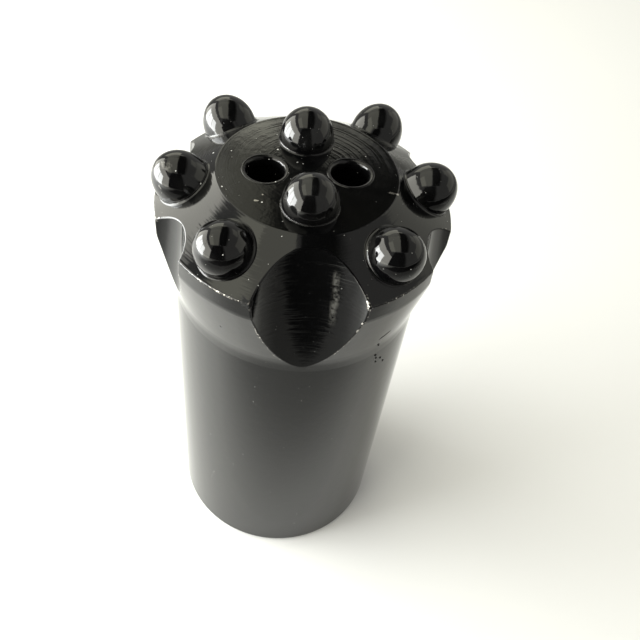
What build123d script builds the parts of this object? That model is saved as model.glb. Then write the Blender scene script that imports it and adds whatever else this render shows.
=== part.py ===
from build123d import *
import os
from math import cos, radians, sin, tan

# A button drill bit for a tapered drill rod: a turned steel body with a fluted head
# and pressed-in carbide buttons. Millimetres, +Z up along the bit's axis.
# The origin is the centre of the skirt's open end, which the bit stands on.
# The wide flutes face -Y and +Y, and the flushing holes lie on -X and +X.

# Turned outside of the body
bit_diameter = 38.5  # across the gauge buttons, the size of the drilled hole
gauge_projection = 0.15  # gauge buttons outside the steel
skirt_diameter = 34.0
skirt_height = 52.5
skirt_end_chamfer = 0.6
head_height = 17.5  # from the skirt's top to the flat face
face_diameter = 22.8
gauge_cone_angle = 33.5  # fall of the gauge cone from the flat face
gauge_band_height = 2.5
flare_blend_radius = 12.0  # skirt to flare
band_blend_radius = 3.0  # flare to gauge band
edge_radius = 0.3  # gauge edge and face edge

# Tapered socket for the rod, and the flushing holes that open into its end
socket_mouth_diameter = 24.0
socket_mouth_chamfer = 0.8
socket_taper_angle = 11.0  # included
socket_taper_length = 40.0
socket_relief_length = 4.0  # clearance above the rod's end
socket_point_angle = 150.0  # included, left by the drill
flushing_hole_diameter = 4.8
flushing_hole_spacing = 10.6
flushing_hole_chamfer = 0.3

# Buttons, one size for the face and the gauge
button_diameter = 7.0
button_base_chamfer = 0.6
button_dome_height = 4.0
button_dome_fullness = 0.55  # 0.55 is close to an ellipse, less is more pointed
seat_clearance = 0.01  # radial, close to line to line for the press fit
face_button_spacing = 12.9
face_button_stand = 0.3  # shank showing above the face
gauge_button_tilt = 46.0
gauge_button_stand = 0.3  # shank showing above the gauge cone, along the button's axis
gauge_corner_angle = 50.0  # from the side buttons to the corner ones, about the bit
gauge_hole_wall = 0.5  # steel between a gauge hole's end and the flushing hole, across the bit

# Flutes, each one straight pass of a round cutter whose floor leans outwards towards the skirt
flute_lip_radius = 0.2
wide_flute_diameter = 16.0
wide_flute_lean = 14.8
narrow_flute_diameter = 9.6
narrow_flute_lean = 6.0
narrow_flute_clearance = 1.05  # floor outside the skirt, at the skirt's top
narrow_flute_angle = 25.0  # from the side buttons

skirt_radius = skirt_diameter / 2
head_radius = bit_diameter / 2 - gauge_projection
face_radius = face_diameter / 2
face_height = skirt_height + head_height
gauge_fall = tan(radians(gauge_cone_angle))
gauge_edge_height = face_height - (head_radius - face_radius) * gauge_fall
socket_mouth_radius = socket_mouth_diameter / 2
socket_slope = tan(radians(socket_taper_angle / 2))
socket_end_radius = socket_mouth_radius - socket_taper_length * socket_slope
socket_end_height = socket_taper_length + socket_relief_length
button_radius = button_diameter / 2


def turned(outline):
    """A solid of revolution about +Z, from the closed outline of its right-hand section."""
    return revolve(make_face(Plane.XZ * outline), Axis.Z)


def body_blank():
    """Skirt, flare, gauge band, gauge cone and flat face, turned in one piece."""
    flank = FilletPolyline(
        (skirt_radius, skirt_end_chamfer),
        (skirt_radius, skirt_height),
        (head_radius, gauge_edge_height - gauge_band_height),
        (head_radius, gauge_edge_height),
        (face_radius, face_height),
        (0, face_height),
        radius=[flare_blend_radius, band_blend_radius, edge_radius, edge_radius],
    )
    base = Polyline(
        (0, face_height),
        (0, 0),
        (skirt_radius - skirt_end_chamfer, 0),
        (skirt_radius, skirt_end_chamfer),
    )
    return turned(flank + base)


def flute(angle, diameter, lean, floor_radius, floor_height):
    """A cutter's pass at this angle about the bit, its floor through one point of that radial plane."""
    cutter = Pos(diameter / 2, 0, 0) * Cylinder(diameter / 2, 2 * face_height)
    return Rot(0, 0, angle) * Pos(floor_radius, 0, floor_height) * Rot(0, -lean, 0) * cutter


def mirrored(angle):
    """An angle from +X and its reflections: front right, rear right, front left, rear left."""
    return -angle, angle, angle - 180, 180 - angle


def flutes():
    """The wide flutes run out at the skirt's top, the narrow ones a little above it."""
    wide = [
        flute(angle, wide_flute_diameter, wide_flute_lean, skirt_radius, skirt_height)
        for angle in (-90, 90)
    ]
    narrow_floor = skirt_radius + narrow_flute_clearance
    narrow = [
        flute(angle, narrow_flute_diameter, narrow_flute_lean, narrow_floor, skirt_height)
        for angle in mirrored(narrow_flute_angle)
    ]
    return wide + narrow


def socket():
    """The rod's tapered seat, a straight relief and the drill's point above it."""
    point_rise = socket_end_radius / tan(radians(socket_point_angle / 2))
    outline = Polyline(
        (0, 0),
        (socket_mouth_radius + socket_mouth_chamfer, 0),
        (socket_mouth_radius - socket_mouth_chamfer * socket_slope, socket_mouth_chamfer),
        (socket_end_radius, socket_taper_length),
        (socket_end_radius, socket_end_height),
        (0, socket_end_height + point_rise),
        close=True,
    )
    return turned(outline)


def flushing_hole(side):
    """A straight hole from the socket's end to the face, its mouth broken by a small chamfer."""
    radius = flushing_hole_diameter / 2
    outline = Polyline(
        (0, socket_end_height),
        (radius, socket_end_height),
        (radius, face_height - flushing_hole_chamfer),
        (radius + flushing_hole_chamfer, face_height),
        (0, face_height),
        close=True,
    )
    return Pos(side * flushing_hole_spacing / 2, 0, 0) * turned(outline)


def dome_side():
    """One side of a button's dome in section, from its foot to its nose."""
    return Bezier(
        (button_radius, 0),
        (button_radius, button_dome_fullness * button_dome_height),
        (button_dome_fullness * button_radius, button_dome_height),
        (0, button_dome_height),
    )


def gauge_foot_radius():
    """The circle of the gauge domes' feet, from which the leaning domes just reach the bit's diameter."""
    leaning_dome = Rot(0, gauge_button_tilt, 0) * (Plane.XZ * dome_side())
    return bit_diameter / 2 - leaning_dome.bounding_box().max.X


def shank_length():
    """As long as a gauge button can be before its end comes too near a flushing hole."""
    tilt = radians(gauge_button_tilt)
    flushing_reach = (flushing_hole_spacing + flushing_hole_diameter) / 2
    end_reach = gauge_foot_radius() - button_radius * cos(tilt)
    return (end_reach - flushing_reach - gauge_hole_wall) / sin(tilt)


def button(length):
    """One button with a shank of this length, the foot of its dome on the origin."""
    shank = Polyline(
        (0, button_dome_height),
        (0, -length),
        (button_radius - button_base_chamfer, -length),
        (button_radius, button_base_chamfer - length),
        (button_radius, 0),
    )
    return turned(dome_side() + shank)


def button_hole(length):
    """A button's flat-bottomed seat, cut clear through to the open air above it."""
    hole = Cylinder(
        button_radius + seat_clearance,
        length + button_dome_height,
        align=(Align.CENTER, Align.CENTER, Align.MIN),
    )
    return Pos(0, 0, -length) * hole


def face_places():
    """Where the two face buttons stand, by name."""
    height = face_height + face_button_stand
    return {
        "front": Pos(0, -face_button_spacing / 2, height),
        "rear": Pos(0, face_button_spacing / 2, height),
    }


def gauge_places():
    """Where the gauge buttons stand, by name: one on each side and four on the corners."""
    tilt = radians(gauge_button_tilt)
    foot_radius = gauge_foot_radius()
    seat_radius = foot_radius - gauge_button_stand * sin(tilt)
    seat_height = face_height - (seat_radius - face_radius) * gauge_fall
    foot_height = seat_height + gauge_button_stand * cos(tilt)
    place = Pos(foot_radius, 0, foot_height) * Rot(0, gauge_button_tilt, 0)
    corners = ("front_right", "rear_right", "front_left", "rear_left")
    angles = {"right": 0, "left": 180}
    angles |= dict(zip(corners, mirrored(gauge_corner_angle)))
    return {name: Rot(0, 0, angle) * place for name, angle in angles.items()}


def bit_body(button_places, length):
    """The whole body: blank, flutes with softened lips, socket, flushing holes and button holes."""
    blank = body_blank()
    cutters = flutes()
    body = blank - cutters
    body = fillet(new_edges(blank, *cutters, combined=body), flute_lip_radius)
    body -= socket()
    for side in (-1, 1):
        body -= flushing_hole(side)
    for place in button_places:
        body -= place * button_hole(length)
    return body


os.makedirs("parts", exist_ok=True)
places = {f"face_button_{name}": place for name, place in face_places().items()}
places |= {f"gauge_button_{name}": place for name, place in gauge_places().items()}
button_length = shank_length()
export_step(bit_body(places.values(), button_length), "parts/bit_body.step")
for name, place in places.items():
    export_step(place * button(button_length), f"parts/{name}.step")
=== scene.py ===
from functools import reduce
from math import cos, hypot, pi, radians, sin, sqrt, tan

import bmesh
import bpy
from mathutils import Matrix, Vector, noise


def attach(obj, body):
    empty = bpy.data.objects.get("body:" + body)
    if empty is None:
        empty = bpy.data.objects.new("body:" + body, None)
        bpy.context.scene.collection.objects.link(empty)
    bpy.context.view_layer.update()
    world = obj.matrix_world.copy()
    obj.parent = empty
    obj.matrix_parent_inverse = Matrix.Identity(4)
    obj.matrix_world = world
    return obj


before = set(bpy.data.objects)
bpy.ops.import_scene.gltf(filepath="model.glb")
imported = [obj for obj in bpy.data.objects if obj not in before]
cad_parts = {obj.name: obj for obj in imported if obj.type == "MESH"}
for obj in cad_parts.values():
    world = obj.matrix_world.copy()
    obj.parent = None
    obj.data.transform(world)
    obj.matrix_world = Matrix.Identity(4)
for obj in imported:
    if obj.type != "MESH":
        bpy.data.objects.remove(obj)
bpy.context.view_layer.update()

# The body: one piece of alloy steel, turned all over, fluted with two sizes of round
# cutter and bored to a taper for the rod. Gloss black lacquer is sprayed over the tool
# marks, thin on the lips and edges, and the rod's seat inside is left bare.

skirt_radius = 17.0  # millimetres, as are all the sizes of the bit
skirt_height = 52.5
skirt_end_chamfer = 0.6
head_radius = 19.1
face_radius = 11.4
face_height = 70.0
gauge_fall = tan(radians(33.5))
gauge_edge_height = face_height - (head_radius - face_radius) * gauge_fall
seat_reach = 13.4  # the bare seat lies inside this radius and below this height
seat_height = 47.75
wide_flute_radius = 8.0
wide_flute_lean = radians(14.8)
narrow_flute_radius = 4.8
narrow_flute_lean = radians(6.0)
narrow_flute_angle = radians(25.0)
narrow_flute_floor = 18.05
flute_wall_end = (0.12, 0.03)  # distances from a flute's wall over which it gives way to its lip
lip_start = (0.03, 0.08)
wide_lip_end = (0.34, 0.18)
narrow_lip_end = (0.30, 0.16)
lip_foot = 54.0
lip_top = 65.7
gauge_edge_drop = 0.08  # from the gauge edge's sharp corner to the middle of its rounding
gauge_edge_end = (0.17, 0.07)
face_button_offset = 6.45
button_dust_end = (5.6, 4.4)  # distances from a face button's axis
dry_streak_offset = 3.2  # to the right of the wide flute's middle
dry_streak_side = (0.55, 0.1)
dry_streak_foot = (58.5, 61.5)
dry_streak_top = (67.0, 65.8)
thin_chips = (0.53, 0.66)  # strength of the chipping where lacquer thins, and where it is gone
bare_chips = (0.66, 0.70)

lacquer_black = (0.0015, 0.0016, 0.0018, 1)
lacquer_dusty = (0.0026, 0.0026, 0.0026, 1)
# The worn-thin lacquer colour also paints part of the highlight on the front left gauge edge
lacquer_thin = (0.060, 0.056, 0.050, 1)
lacquer_dry = (0.060, 0.059, 0.055, 1)
# The bare steel colour also paints a glint at the wide flute's right corner and a highlight on the front
# left gauge edge
worn_steel = (0.50, 0.48, 0.45, 1)
dust_grey = (0.62, 0.62, 0.60, 1)
seat_steel = (0.36, 0.35, 0.34, 1)
seat_stain = (0.16, 0.125, 0.10, 1)
lacquer_ior = 1.48
lacquer_roughness = 0.06
least_roughness = 0.035

nicks_and_glint = (  # start, end and width of each mark down to the steel
    ((9.9, -3.44, 70.0), (10.8, -3.62, 69.97), 0.14),
    ((-6.50, -5.94, 70.0), (-6.20, -5.92, 70.0), 0.14),
    ((-5.68, -4.81, 70.0), (-5.62, -4.81, 70.0), 0.11),
    # painted glint: a bare steel patch at the wide flute's right corner, there to catch a glint
    ((6.62, -17.15, 65.25), (6.76, -17.66, 64.55), 0.17),
    ((6.41, -17.78, 62.12), (6.41, -17.80, 61.98), 0.13),
    ((6.11, -17.70, 60.70), (5.98, -17.66, 60.35), 0.13),
)
scuffs = (  # start, end and width of each dulled mark in the lacquer
    ((9.9, -14.5, 55.2), (11.1, -13.8, 55.9), 0.22),
    ((10.0, -14.0, 53.6), (10.2, -13.85, 53.0), 0.24),
    ((-10.3, -14.8, 57.3), (-10.2, -14.85, 57.2), 0.16),
    ((-7.4, -17.45, 64.95), (-6.8, -17.75, 64.65), 0.6),
)
dents = (  # where each small dent on the flank starts
    (10.05, -13.7, 50.9),
    (10.25, -13.55, 50.1),
    (10.35, -13.5, 49.2),
    (11.0, -12.95, 49.4),
    (11.6, -12.4, 48.1),
)
dent_run = Vector((0.15, 0.10, -0.30))
dent_width = 0.19


class Shade:
    """A value on a surface: a socket of a material, to which arithmetic adds Math nodes."""

    def __init__(self, tree, socket=None):
        self.tree = tree
        self.socket = socket

    def node(self, kind, settings, sockets, output=0):
        """Adds a node, sets it up, fills or links its sockets and gives one of its outputs."""
        made = self.tree.nodes.new(kind)
        for name, value in settings.items():
            setattr(made, name, value)
        for name, value in sockets.items():
            if isinstance(value, Shade):
                self.tree.links.new(value.socket, made.inputs[name])
            else:
                made.inputs[name].default_value = value
        return Shade(self.tree, made.outputs[output]) if made.outputs else None

    def other(self, output):
        """Another output of the node that this value comes from."""
        return Shade(self.tree, self.socket.node.outputs[output])

    def math(self, operation, *values):
        return self.node("ShaderNodeMath", {"operation": operation}, dict(enumerate(values)))

    def vectors(self, operation, first, second, output="Vector"):
        return self.node("ShaderNodeVectorMath", {"operation": operation}, {0: first, 1: second}, output)

    def __add__(self, other):
        return self.math("ADD", self, other)

    def __sub__(self, other):
        return self.math("SUBTRACT", self, other)

    def __rsub__(self, other):
        return self.math("SUBTRACT", other, self)

    def __mul__(self, other):
        return self.math("MULTIPLY", self, other)

    def __truediv__(self, other):
        return self.math("DIVIDE", self, other)

    def __pow__(self, other):
        return self.math("POWER", self, other)

    def __abs__(self):
        return self.math("ABSOLUTE", self)

    __radd__ = __add__
    __rmul__ = __mul__

    def larger(self, other):
        return self.math("MAXIMUM", self, other)

    def smaller(self, other):
        return self.math("MINIMUM", self, other)

    def rise(self, low, high):
        """0 up to low and 1 from high, with a soft step between, or falling if high is the lower."""
        return self.node(
            "ShaderNodeMapRange",
            {"interpolation_type": "SMOOTHSTEP"},
            {"Value": self, "From Min": low, "From Max": high},
        )

    def mixed(self, first, second):
        """The first colour where this value is 0 and the second where it is 1."""
        return self.node("ShaderNodeMix", {"data_type": "RGBA"}, {0: self, 6: first, 7: second}, 2)

    def noise(self, size, detail=2.0, shift=0.0):
        """Cloudy noise about 0.5 over this place, its lumps about this size."""
        moved = self.vectors("ADD", self, (shift, shift, 0))
        return self.node("ShaderNodeTexNoise", {}, {"Vector": moved, "Scale": 1 / size, "Detail": detail})

    def streaks(self, size, detail=2.0):
        """Noise about 0.5 along this one value, the same across it."""
        return self.node(
            "ShaderNodeTexNoise",
            {"noise_dimensions": "1D"},
            {"W": self, "Scale": 1 / size, "Detail": detail},
        )

    def specks(self, spacing, size, share):
        """Small round specks: one in each cell of this spacing, in this share of the cells."""
        near = self.node(
            "ShaderNodeTexVoronoi", {}, {"Vector": self, "Scale": 1 / spacing, "Randomness": 1.0}
        )
        chance = near.node("ShaderNodeSeparateColor", {}, {"Color": near.other("Color")})
        reach = (0.35 + chance.other(1)) * (size / spacing)
        return (near / reach).rise(1.0, 0.6) * chance.rise(share + 0.01, share)


def start_finish(name):
    """A new material and the place on its surface in millimetres: a vector, then x, y and z."""
    material = bpy.data.materials.new(name)
    material.use_nodes = True
    material.node_tree.nodes.clear()
    metres = Shade(material.node_tree).node("ShaderNodeTexCoord", {}, {}, "Object")
    place = metres.node("ShaderNodeVectorMath", {"operation": "SCALE"}, {0: metres, "Scale": 1000})
    x = place.node("ShaderNodeSeparateXYZ", {}, {"Vector": place})
    return material, place, x, x.other(1), x.other(2)


def close_finish(place, microns, sockets):
    """The shader with these sockets, and a bump of this height."""
    bump = place.node("ShaderNodeBump", {}, {"Height": microns, "Distance": 1e-6})
    shader = place.node("ShaderNodeBsdfPrincipled", {}, {**sockets, "Normal": bump})
    place.node("ShaderNodeOutputMaterial", {}, {"Surface": shader})


def flute_gap(out, across, height, floor, lean, flute_radius):
    """Distance from the wall of a flute. Its floor leans, and is this far out at the skirt's top."""
    depth = (out - floor) * cos(lean) + (height - skirt_height) * sin(lean)
    off_axis = depth - flute_radius
    return (across * across + off_axis * off_axis) ** 0.5 - flute_radius


def marks(place, grain, runs, raggedness=2.5, core=0.6):
    """Short straight marks with ragged sides, each from a start to an end and so wide."""
    made = []
    for start, end, width in runs:
        run = Vector(end) - Vector(start)
        offset = place.vectors("SUBTRACT", place, start)
        share = offset.vectors("DOT_PRODUCT", offset, run, "Value") / run.length_squared
        share = share.larger(0).smaller(1)
        nearest = share.node("ShaderNodeVectorMath", {"operation": "SCALE"}, {0: run, "Scale": share})
        gap = offset.vectors("DISTANCE", offset, nearest, "Value")
        made.append((gap + (grain - 0.5) * width * raggedness).rise(width, width * core))
    return reduce(Shade.larger, made)


body_finish, spot, x, y, z = start_finish("black_lacquer_over_tool_marks")
radius = (x * x + y * y) ** 0.5
wide_gap = flute_gap(abs(y), x, z, skirt_radius, wide_flute_lean, wide_flute_radius)
out = abs(x) * cos(narrow_flute_angle) + abs(y) * sin(narrow_flute_angle)
across = abs(y) * cos(narrow_flute_angle) - abs(x) * sin(narrow_flute_angle)
narrow_gap = flute_gap(out, across, z, narrow_flute_floor, narrow_flute_lean, narrow_flute_radius)

in_wide = wide_gap.rise(*flute_wall_end)
in_narrow = narrow_gap.rise(*flute_wall_end)
turned = (1 - in_wide) * (1 - in_narrow)
on_face = z.rise(face_height - 0.04, face_height - 0.01)
on_cone = z.rise(gauge_edge_height - 0.2, gauge_edge_height + 0.1) * (1 - on_face) * turned
on_flank = z.rise(gauge_edge_height + 0.1, gauge_edge_height - 0.2) * turned
upward = (on_face + on_cone).smaller(1)
in_seat = radius.rise(seat_reach + 0.2, seat_reach - 0.2) * z.rise(seat_height + 0.25, seat_height - 0.25)

clouds = spot.noise(6.0, 3.0)
patches = spot.noise(2.2, 4.0, 11.0)
grain = spot.noise(0.35, 3.0, 5.0)
peel = spot.noise(1.3, 1.0, 23.0)
flecks = spot.noise(0.30, 3.0, 31.0)

# Wear along the lips and edges, lacquer worn thin and bare flecks, and painted highlight on the gauge edge
# On the gauge edge the flecks are most at the front left, where they paint its highlight, and fewest at
# the right
lip = wide_gap.rise(*wide_lip_end) * wide_gap.rise(*lip_start)
lip = lip.larger(narrow_gap.rise(*narrow_lip_end) * narrow_gap.rise(*lip_start))
lip = lip * z.rise(lip_top + 0.5, lip_top - 0.5) * z.rise(lip_foot - 0.6, lip_foot + 0.6)
gauge_edge = abs(z - gauge_edge_height + gauge_edge_drop).rise(*gauge_edge_end)
gauge_edge = gauge_edge * radius.rise(head_radius - 0.5, head_radius - 0.3)
foot_edge = z.rise(skirt_end_chamfer + 0.15, skirt_end_chamfer - 0.25)
foot_edge = foot_edge * radius.rise(skirt_radius - 1.1, skirt_radius - 0.8)
edges = lip.larger(gauge_edge).larger(foot_edge) * (1 - in_seat)
# Painted highlight: the gauge edge gets more flecks at the front left and fewer at the right
front_left = x.rise(-6.5, -8.5) * x.rise(-16.0, -14.0) * y.rise(0.0, -2.0)
knocked_and_highlight = gauge_edge * (front_left * 0.13 - x.rise(-3.0, 4.0) * 0.10)
chipped_and_highlight = flecks + (clouds - 0.5) * 0.8 + knocked_and_highlight + lip * 0.06
thin = edges * chipped_and_highlight.rise(*thin_chips)
bare = edges * chipped_and_highlight.rise(*bare_chips)

# Marks of handling: fine scratches, nicks, scuffs and dents, and a bare patch as a painted glint
scratches = abs(spot.noise(4.0, 0.0, 47.0) - 0.5).rise(0.0035, 0.0012)
scratches = scratches * spot.noise(1.7, 2.0, 53.0).rise(0.66, 0.74) * on_flank
# Nicks down to the steel, and one bare patch as a painted glint at the wide flute's right corner
nick_and_glint = marks(spot, grain, nicks_and_glint)
dent_runs = [(dent, Vector(dent) + dent_run, dent_width) for dent in dents]
scuff = marks(spot, grain, [*scuffs, *dent_runs])

# Dust, thickest round the face buttons, a thin film, and a streak of dry overspray in the front flute
button_side = abs(y) - face_button_offset
button_distance = (x * x + button_side * button_side) ** 0.5
dust = (spot.specks(0.5, 0.04, 0.25) * 0.7).larger(spot.specks(1.2, 0.10, 0.30))
dust = dust * (upward * 0.75 + 0.25) * (1 - in_seat)
button_dust = spot.specks(0.8, 0.10, 0.40) * button_distance.rise(*button_dust_end)
dust = dust.larger(button_dust * on_face)
film = clouds.rise(0.42, 0.72) * (upward * 0.5 + 0.25)
dry_streak = abs(x - dry_streak_offset + (patches - 0.5) * 0.8).rise(*dry_streak_side)
dry_streak = dry_streak * z.rise(*dry_streak_foot) * z.rise(*dry_streak_top)
dry_streak = dry_streak * in_wide * y.rise(0.0, -1.0)
dry_streak = dry_streak * spot.noise(0.5, 3.0, 61.0).rise(0.32, 0.60)

# Tool marks under the lacquer, its own ripple and its chipped edges, with heights in microns
wander = (clouds - 0.5) * 0.5
strokes = (patches - 0.5) * 0.8
along = (z - skirt_height) * cos(wide_flute_lean) - (abs(y) - skirt_radius) * sin(wide_flute_lean)
worked = patches.rise(0.25, 0.75) + 0.35
rings = (radius + wander).streaks(0.21, 1.0) - 0.5
coarse_rings = (radius + wander).streaks(0.75, 3.0) - 0.5
cutter_marks = (along + strokes).streaks(0.42, 4.0) - 0.5
skirt_marks = z.streaks(0.5, 2.0) - 0.5
rear_right = (x + y).rise(-2.0, 13.0)
microns = (
    rings * worked * (on_cone * 9.5 + on_face * 2.6)
    + coarse_rings * worked * on_face * (rear_right * 22.0 + 3.0)
    + cutter_marks * worked * in_wide * (z.rise(56.0, 64.0) * 16.0 + 6.0)
    + skirt_marks * on_flank
    + (peel - 0.5) * 7
    + (grain - 0.5) * (on_face * 2.5 + on_flank * 1.5 + 1.0)
    + (flecks - 0.5) * edges * 34
)

colour = film.mixed(lacquer_black, lacquer_dusty)
# Worn-thin lacquer and bare steel, partly painted highlight on the gauge edge at the front left
colour = thin.mixed(colour, lacquer_thin)
colour = dry_streak.mixed(colour, lacquer_dry)
colour = bare.larger(scratches * 0.25).larger(nick_and_glint).mixed(colour, worn_steel)
colour = dust.mixed(colour, dust_grey)
seat_colour = patches.rise(0.45, 0.75).mixed(seat_steel, seat_stain)
colour = in_seat.mixed(colour, seat_colour)
roughness = (
    lacquer_roughness
    + on_face * 0.025
    - in_wide * 0.02
    + (patches - 0.5) * 0.06
    + film * 0.035
    + scuff * 0.85
    + dry_streak * 0.25
    + thin * 0.12
    + bare * 0.10
    + dust * 0.5
    + in_seat * 0.2
)
close_finish(
    spot,
    microns,
    {
        "Base Color": colour,
        "Metallic": (bare.larger(nick_and_glint) * 0.9).larger(in_seat),
        "Roughness": roughness.larger(least_roughness),
        "IOR": lacquer_ior,
    },
)
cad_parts["bit_body"].data.materials.clear()
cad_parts["bit_body"].data.materials.append(body_finish)

# The buttons: eight tungsten carbide pins with domed noses, two on the face and six
# leaning round the gauge, pressed cold into drilled holes. The same spray covers them,
# and over the ground carbide it lies smoother and shinier than on the steel.

button_radius = 3.5
button_dome_height = 4.0
button_black = (0.0018, 0.0018, 0.0020, 1)
button_film = (0.0050, 0.0050, 0.0052, 1)
button_smudge = (0.075, 0.072, 0.066, 1)
button_roughness = 0.05
smudge_run = ((-17.5, -1.0, 70.86), (-17.1, -1.6, 70.76), 0.65)  # start, end and width, on the left button
smear_run = ((-18.0, -2.5, 68.6), (-17.8, -2.75, 68.35), 0.12)

button_finish, spot, x, y, z = start_finish("black_lacquer_over_ground_carbide")
clouds = spot.noise(3.0, 2.0, 7.0)
peel = spot.noise(0.9, 1.0, 19.0)
grain = spot.noise(0.3, 2.0, 3.0)
dust = (spot.specks(0.45, 0.035, 0.30) * 0.8).larger(spot.specks(1.0, 0.07, 0.25))
smudge = marks(spot, grain, [smudge_run]) * spot.noise(0.5, 3.0, 41.0).rise(0.40, 0.65)
smudge = smudge.larger(marks(spot, grain, [smear_run]))
colour = clouds.rise(0.45, 0.75).mixed(button_black, button_film)
colour = smudge.mixed(colour, button_smudge)
close_finish(
    spot,
    (peel - 0.5) * 6 + (grain - 0.5) * 0.8,
    {
        "Base Color": dust.mixed(colour, dust_grey),
        "Roughness": button_roughness + (clouds - 0.4).larger(0) * 0.12 + smudge * 0.25 + dust * 0.5,
        "IOR": lacquer_ior,
    },
)
for name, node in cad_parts.items():
    if name != "bit_body":
        node.data.materials.clear()
        node.data.materials.append(button_finish)

# The beads: lacquer that ran into the corner round each button and dried there as a
# hollow, glossy ring between the button's shank and the steel, thicker in places.
# Round the front face button it dried finely wrinkled.

front_bead_width = 0.13
rear_bead_width = 0.20
gauge_bead_width = 0.27
bead_sink = 0.08  # into the steel and the button, so that no gap shows
bead_arc_points = 7
bead_turns = 96
bead_unevenness = 0.45
bead_lumps = 1.6  # how close together the thick places are
bead_roughness = 0.14
bead_fitting_steps = 4
bead_climb_limit = 0.75  # share of the dome's height that a bead may follow
bit_radius = 19.25
face_button_stand = 0.3
gauge_button_stand = 0.3
gauge_tilt = radians(46.0)
gauge_dome_reach = hypot(button_dome_height * sin(gauge_tilt), button_radius * cos(gauge_tilt))
gauge_foot_radius = bit_radius - gauge_dome_reach
gauge_seat_radius = gauge_foot_radius - gauge_button_stand * sin(gauge_tilt)
gauge_seat_height = face_height - (gauge_seat_radius - face_radius) * gauge_fall
gauge_foot_height = gauge_seat_height + gauge_button_stand * cos(gauge_tilt)
gauge_angles = {
    "right": 0,
    "left": 180,
    "front_right": -50,
    "rear_right": 50,
    "front_left": -130,
    "rear_left": 130,
}
face_beads = {"front": (-1, front_bead_width), "rear": (1, rear_bead_width)}
bead_seed_step = 7.3
gauge_bead_seed = 20

bead_finish, spot, x, y, z = start_finish("black_lacquer_bead")
clouds = spot.noise(1.2, 2.0, 13.0)
wrinkled = y.rise(-3.1, -3.5) * z.rise(face_height - 0.4, face_height - 0.2)
ripple = (spot.noise(0.5, 3.0, 29.0) - 0.5) * 30
wrinkles = (spot.noise(0.16, 2.0, 37.0) - 0.5) * wrinkled * 80
dust = spot.specks(0.7, 0.10, 0.50)
colour = clouds.rise(0.5, 0.8).mixed(button_black, lacquer_dusty)
close_finish(
    spot,
    ripple + wrinkles,
    {
        "Base Color": dust.mixed(colour, dust_grey),
        "Roughness": bead_roughness + (clouds - 0.4).larger(0) * 0.3 + wrinkled * 0.08 + dust * 0.5,
        "IOR": lacquer_ior,
    },
)


def steel_height(point):
    """The height of the flat face or the gauge cone under this point."""
    return face_height - max(point.xy.length - face_radius, 0) * gauge_fall


def spun_ring(section, turns):
    """A ring about Z in millimetres with this closed section, its points given as out and up."""
    ring = bmesh.new()
    corners = [ring.verts.new((out, 0, up)) for out, up in section]
    sides = [ring.edges.new(pair) for pair in zip(corners, corners[1:] + corners[:1])]
    bmesh.ops.spin(
        ring,
        geom=corners + sides,
        cent=(0, 0, 0),
        axis=(0, 0, 1),
        angle=2 * pi,
        steps=turns,
        use_merge=True,
    )
    bmesh.ops.remove_doubles(ring, verts=ring.verts, dist=1e-5)
    return ring


def set_ring(ring, place):
    """Brings a ring in millimetres to its place on the bit in metres, with smooth faces."""
    bmesh.ops.transform(ring, matrix=Matrix.Scale(0.001, 4) @ place, verts=ring.verts)
    bmesh.ops.recalc_face_normals(ring, faces=ring.faces)
    for face in ring.faces:
        face.smooth = True


def add_object(name, mesh, finish):
    """Puts a finished mesh into the scene as an object of this name and finish."""
    data = bpy.data.meshes.new(name)
    mesh.to_mesh(data)
    mesh.free()
    data.materials.append(finish)
    made = bpy.data.objects.new(name, data)
    bpy.context.scene.collection.objects.link(made)
    return made


def lacquer_bead(name, place, bead_width, seed):
    """A bead round the button that stands at this place, the foot of its dome on the origin."""
    lean = place.to_3x3() @ Vector((0, 0, 1))
    climb = lean.z + gauge_fall * lean.xy.length
    arc = [pi / 2 * step / (bead_arc_points - 1) for step in range(bead_arc_points)]
    section = [
        (button_radius + bead_width * (1 - sin(turn)), bead_width * (1 - cos(turn))) for turn in arc
    ]
    section += [
        (button_radius - bead_sink, bead_width),
        (button_radius - bead_sink, -bead_sink),
        (button_radius + bead_width, -bead_sink),
    ]
    ring = spun_ring(section, bead_turns)
    for vert in ring.verts:
        out = vert.co.xy.normalized()
        lump = noise.noise((out.x * bead_lumps, out.y * bead_lumps, seed))
        fullness = 1 + bead_unevenness * lump
        distance = button_radius + (vert.co.xy.length - button_radius) * fullness
        rise = vert.co.z * fullness
        foot = Vector((*(out * distance), 0))
        for _ in range(bead_fitting_steps):
            point = place @ foot
            foot.z -= (point.z - steel_height(point)) / climb
        rise += foot.z
        dome_share = min(max(rise / button_dome_height, 0), bead_climb_limit)
        dome_radius = button_radius * sqrt(1 - dome_share**2)
        closeness = 1 - min(max((distance - button_radius) / bead_width, 0), 1)
        distance += (dome_radius - button_radius) * closeness
        vert.co = (out.x * distance, out.y * distance, rise)
    set_ring(ring, place)
    bead = add_object(name, ring, bead_finish)
    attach(bead, "root")


for count, (name, (side, bead_width)) in enumerate(face_beads.items()):
    place = Matrix.Translation((0, side * face_button_offset, face_height + face_button_stand))
    lacquer_bead(f"face_bead_{name}", place, bead_width, count * bead_seed_step)
for count, (name, angle) in enumerate(gauge_angles.items()):
    turn = Matrix.Rotation(radians(angle), 4, "Z")
    foot = Matrix.Translation((gauge_foot_radius, 0, gauge_foot_height))
    place = turn @ foot @ Matrix.Rotation(gauge_tilt, 4, "Y")
    lacquer_bead(f"gauge_bead_{name}", place, gauge_bead_width, gauge_bead_seed + count * bead_seed_step)

# The hole lips: lacquer drawn over the broken edge of each flushing hole, thickest where it
# hangs into the bore and dried there uneven and shiny.

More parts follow.
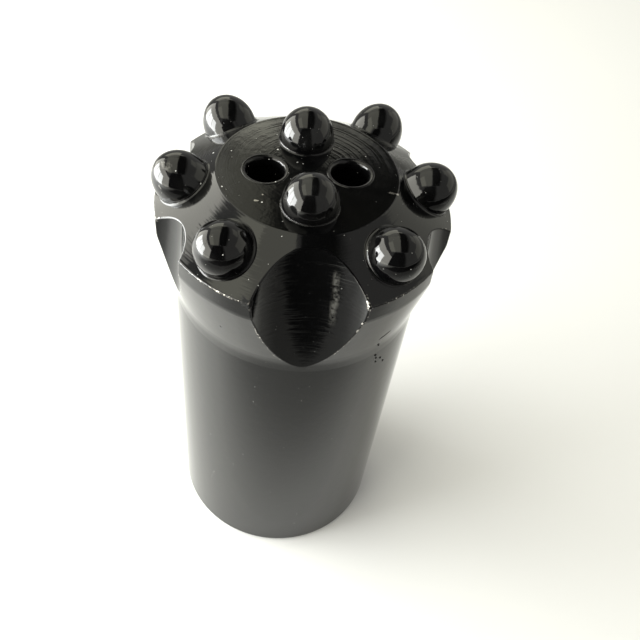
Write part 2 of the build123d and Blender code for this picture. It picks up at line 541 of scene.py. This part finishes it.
flushing_offset = 5.3
flushing_radius = 2.4
lip_section = (  # distance from the hole's wall and from the face, outwards and upwards
    (0.62, -0.05),
    (0.60, 0.015),
    (0.42, 0.055),
    (0.22, 0.02),
    (0.06, -0.14),
    (-0.04, -0.40),
    (-0.09, -0.80),
    (-0.08, -1.25),
    (-0.02, -1.60),
    (0.05, -1.70),
    (0.05, -0.45),
    (0.32, -0.12),
)
lip_turns = 72
lip_lumps = 2.2  # how close together the runs are, round the hole and down it
lip_lumps_down = 0.8
lip_run = 0.07  # how far a run swells into the bore
lip_run_reach = 0.03  # runs form no further than this outside the hole's wall
hole_lips = {"hole_lip_right": (1, 71.0), "hole_lip_left": (-1, 83.0)}  # side and seed


def hole_lip(name, side, seed):
    """A lip of lacquer over the mouth of the flushing hole on this side."""
    ring = spun_ring([(flushing_radius + out, up) for out, up in lip_section], lip_turns)
    for vert in ring.verts:
        out = vert.co.xy.normalized()
        lump = noise.noise((out.x * lip_lumps, out.y * lip_lumps, seed + vert.co.z * lip_lumps_down))
        if vert.co.xy.length < flushing_radius + lip_run_reach:
            vert.co.xy -= out * lip_run * max(lump, 0)
    set_ring(ring, Matrix.Translation((side * flushing_offset, 0, face_height)))
    lip = add_object(name, ring, bead_finish)
    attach(lip, "root")


for name, (side, seed) in hole_lips.items():
    hole_lip(name, side, seed)

# The table: a plain pale board that the bit stands on, painted matt and faintly mottled.
# It is wide enough to fill the picture.

table_radius = 3.0  # metres, as are the places and sizes of the panels and the cards
table_sides = 96
table_white = (0.80, 0.80, 0.80, 1)
table_shade = (0.76, 0.76, 0.76, 1)
table_roughness = 0.85

table_finish, spot, x, y, z = start_finish("pale_table")
close_finish(
    spot,
    (spot.noise(2.0, 2.0) - 0.5) * 4,
    {
        "Base Color": spot.noise(120.0, 2.0).mixed(table_white, table_shade),
        "Roughness": table_roughness,
    },
)
board = bmesh.new()
bmesh.ops.create_circle(board, cap_ends=True, segments=table_sides, radius=table_radius)
table = add_object("table", board, table_finish)

# The light: a bright softbox in three panes low on the left, in a dimmer warm surround, with
# dim panels overhead, behind and on the right in an even grey room. Black cards, which show in
# reflections alone, darken the gloss where no panel should show.

room_light = 0.45
room_colour = (1.0, 0.99, 0.94, 1)
pane_white = (0.97, 1.0, 1.0)
surround_warm = (1.0, 0.985, 0.88)
panel_cream = (1.0, 0.99, 0.80)
quarter_turn = radians(90)
down = (0.0, 0.0)  # the tilt and turn that face a panel this way
to_right = (quarter_turn, -quarter_turn)
to_left = (quarter_turn, quarter_turn)
to_front = (quarter_turn, 2 * quarter_turn)
skewed_down = (0.0, radians(-6.5))
panels = {  # middle, width, height, the way it faces, brightness, colour
    "pane_front": ((-0.30, -0.085, 0.085), 0.104, 0.17, to_right, 16.0, pane_white),
    "pane_middle": ((-0.30, 0.027, 0.085), 0.104, 0.17, to_right, 18.0, pane_white),
    "pane_rear": ((-0.30, 0.139, 0.085), 0.104, 0.17, to_right, 12.0, pane_white),
    "surround": ((-0.32, -0.02, 0.159), 0.74, 0.318, to_right, 4.6, surround_warm),
    "surround_back": ((-0.3202, -0.02, 0.159), 0.74, 0.318, to_left, 8.0, surround_warm),
    "overhead": ((-0.42, 0.09, 1.0), 0.76, 1.34, skewed_down, 1.05, panel_cream),
    "overhead_far": ((-0.36, 0.98, 1.0), 0.80, 0.44, down, 0.75, panel_cream),
    "back_wall": ((-0.36, 1.26, 0.72), 0.84, 0.56, to_front, 1.6, panel_cream),
    "overhead_left": ((-0.63, -0.15, 0.98), 0.34, 0.90, down, 0.9, panel_cream),
    "overhead_right": ((1.05, 0.90, 1.0), 0.60, 0.80, down, 0.5, panel_cream),
    "back_wall_right": ((0.14, 1.40, 1.25), 0.32, 0.60, to_front, 0.9, panel_cream),
    "right_wall": ((1.0, 0.45, 0.42), 1.60, 0.60, to_left, 0.45, panel_cream),
}
card_black = (0.02, 0.02, 0.02, 1)
front_card_edge = 141.0  # millimetres in front of the bit's axis, where that card turns fully black


def overhead_cover(x, y):
    """Fades out towards the right."""
    return x.rise(620, 360)


def rear_cover(x, y):
    """Fades out towards both sides."""
    return x.rise(-710, -600) * x.rise(340, 140)


def front_cover(x, y):
    """Darkens away from the bit to fully black past the edge, and fades out at the far left."""
    ahead = 0 - y
    past_edge = (ahead - front_card_edge).rise(-1, 1)
    before_edge = ahead.rise(15, 50) * 0.52 + ahead.rise(45, 95) * 0.22
    return past_edge.larger(before_edge) * x.rise(-210, -110)


def back_cover(x, y):
    """Half dark, and darkest away from the bit."""
    return y.rise(105, 200) * 0.55


def right_cover(x, y):
    """Half dark, and darkest away from the bit."""
    return x.rise(130, 300) * 0.45


cards = {  # middle, width, depth, turn about X, how much it covers, by places in millimetres
    "overhead_card": ((0.31, 0.295, 1.02), 0.70, 1.95, 0.0, overhead_cover),
    "rear_card": ((-0.18, -0.75, 0.55), 1.08, 1.10, quarter_turn, rear_cover),
    "front_card": ((0.10, -0.31, 0.001), 0.90, 0.58, 0.0, front_cover),
    "back_card": ((0.0, 0.50, 0.001), 1.60, 0.80, 0.0, back_cover),
    "right_card": ((0.36, 0.09, 0.001), 0.48, 0.42, 0.0, right_cover),
}

world = bpy.data.worlds.new("grey_room")
world.use_nodes = True
world.node_tree.nodes["Background"].inputs["Color"].default_value = room_colour
world.node_tree.nodes["Background"].inputs["Strength"].default_value = room_light
bpy.context.scene.world = world

for name, (middle, width, height, (tilt, turn), brightness, colour) in panels.items():
    lamp = bpy.data.lights.new(name, "AREA")
    lamp.shape = "RECTANGLE"
    lamp.size = width
    lamp.size_y = height
    lamp.energy = brightness * pi * width * height
    lamp.color = colour
    panel = bpy.data.objects.new(name, lamp)
    panel.location = middle
    panel.rotation_euler = (tilt, 0, turn)
    bpy.context.scene.collection.objects.link(panel)

for name, (middle, width, depth, turn, cover) in cards.items():
    card_finish, spot, x, y, z = start_finish(name)
    black = spot.node("ShaderNodeBsdfDiffuse", {}, {"Color": card_black})
    clear = spot.node("ShaderNodeBsdfTransparent", {}, {})
    faded = spot.node("ShaderNodeMixShader", {}, {0: cover(x, y), 1: clear, 2: black})
    spot.node("ShaderNodeOutputMaterial", {}, {"Surface": faded})
    leaf = bmesh.new()
    bmesh.ops.create_grid(leaf, x_segments=1, y_segments=1, size=0.5)
    bmesh.ops.scale(leaf, vec=(width, depth, 1), verts=leaf.verts)
    place = Matrix.Translation(middle) @ Matrix.Rotation(turn, 4, "X")
    bmesh.ops.transform(leaf, matrix=place, verts=leaf.verts)
    card = add_object(name, leaf, card_finish)
    card.visible_camera = False
    card.visible_shadow = False
    card.visible_diffuse = False

# The camera: above the front of the bit and a little to its left, looking steeply down on it
# from close by, and rolled a little.

camera_place = Vector((-0.007956, -0.073929, 0.129295))  # metres
camera_aim = Vector((0.10606, 0.64019, -0.76085)).normalized()
camera_roll = radians(8.76)
camera_lens = 42.437  # millimetres, as is the sensor
camera_sensor = 36.0
camera_nearest = 0.005  # metres

level = camera_aim.cross(Vector((0, 0, 1))).normalized()
steep = level.cross(camera_aim)
right = cos(camera_roll) * level + sin(camera_roll) * steep
up = cos(camera_roll) * steep - sin(camera_roll) * level
lens = bpy.data.cameras.new("camera")
lens.sensor_width = camera_sensor
lens.lens = camera_lens
lens.clip_start = camera_nearest
camera = bpy.data.objects.new("camera", lens)
turn = Matrix((right, up, -camera_aim)).transposed()
camera.matrix_world = Matrix.Translation(camera_place) @ turn.to_4x4()
bpy.context.scene.collection.objects.link(camera)
bpy.context.scene.camera = camera
bpy.context.scene.view_settings.view_transform = "Standard"
